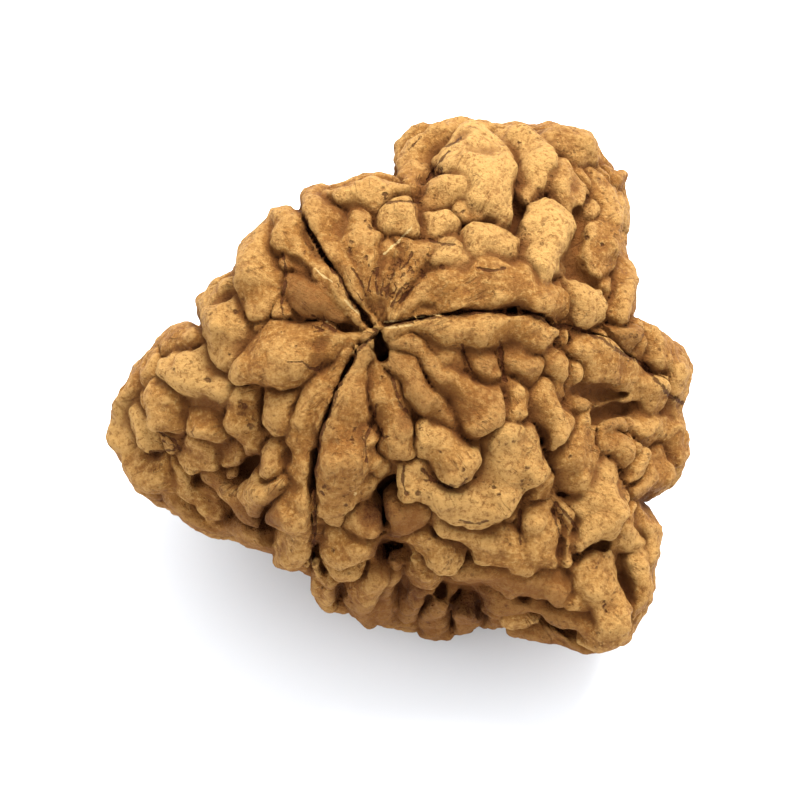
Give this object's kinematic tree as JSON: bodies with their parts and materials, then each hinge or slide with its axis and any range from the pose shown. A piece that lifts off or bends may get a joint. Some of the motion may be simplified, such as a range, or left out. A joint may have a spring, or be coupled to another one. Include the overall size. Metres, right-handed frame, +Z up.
{
  "type": "rudraksha bead",
  "caption": "Natural knobbly seed bead with deep seams from end to end, drilled through for a string, resting on a small flat spot.",
  "frame": {"origin": "on the surface that the bead stands on, below the middle of its bounding box", "axes": "+Z up, +X to the right of the side that the upper mouth of the string hole leans towards, +Y to the back"},
  "size_m": [0.0232, 0.0202, 0.0205],
  "materials": {
    "seed_stone": "matte, dry, finely pitted"
  },
  "bodies": {
    "root": {"rudraksha_bead": "seed_stone"}
  },
  "joints": []
}
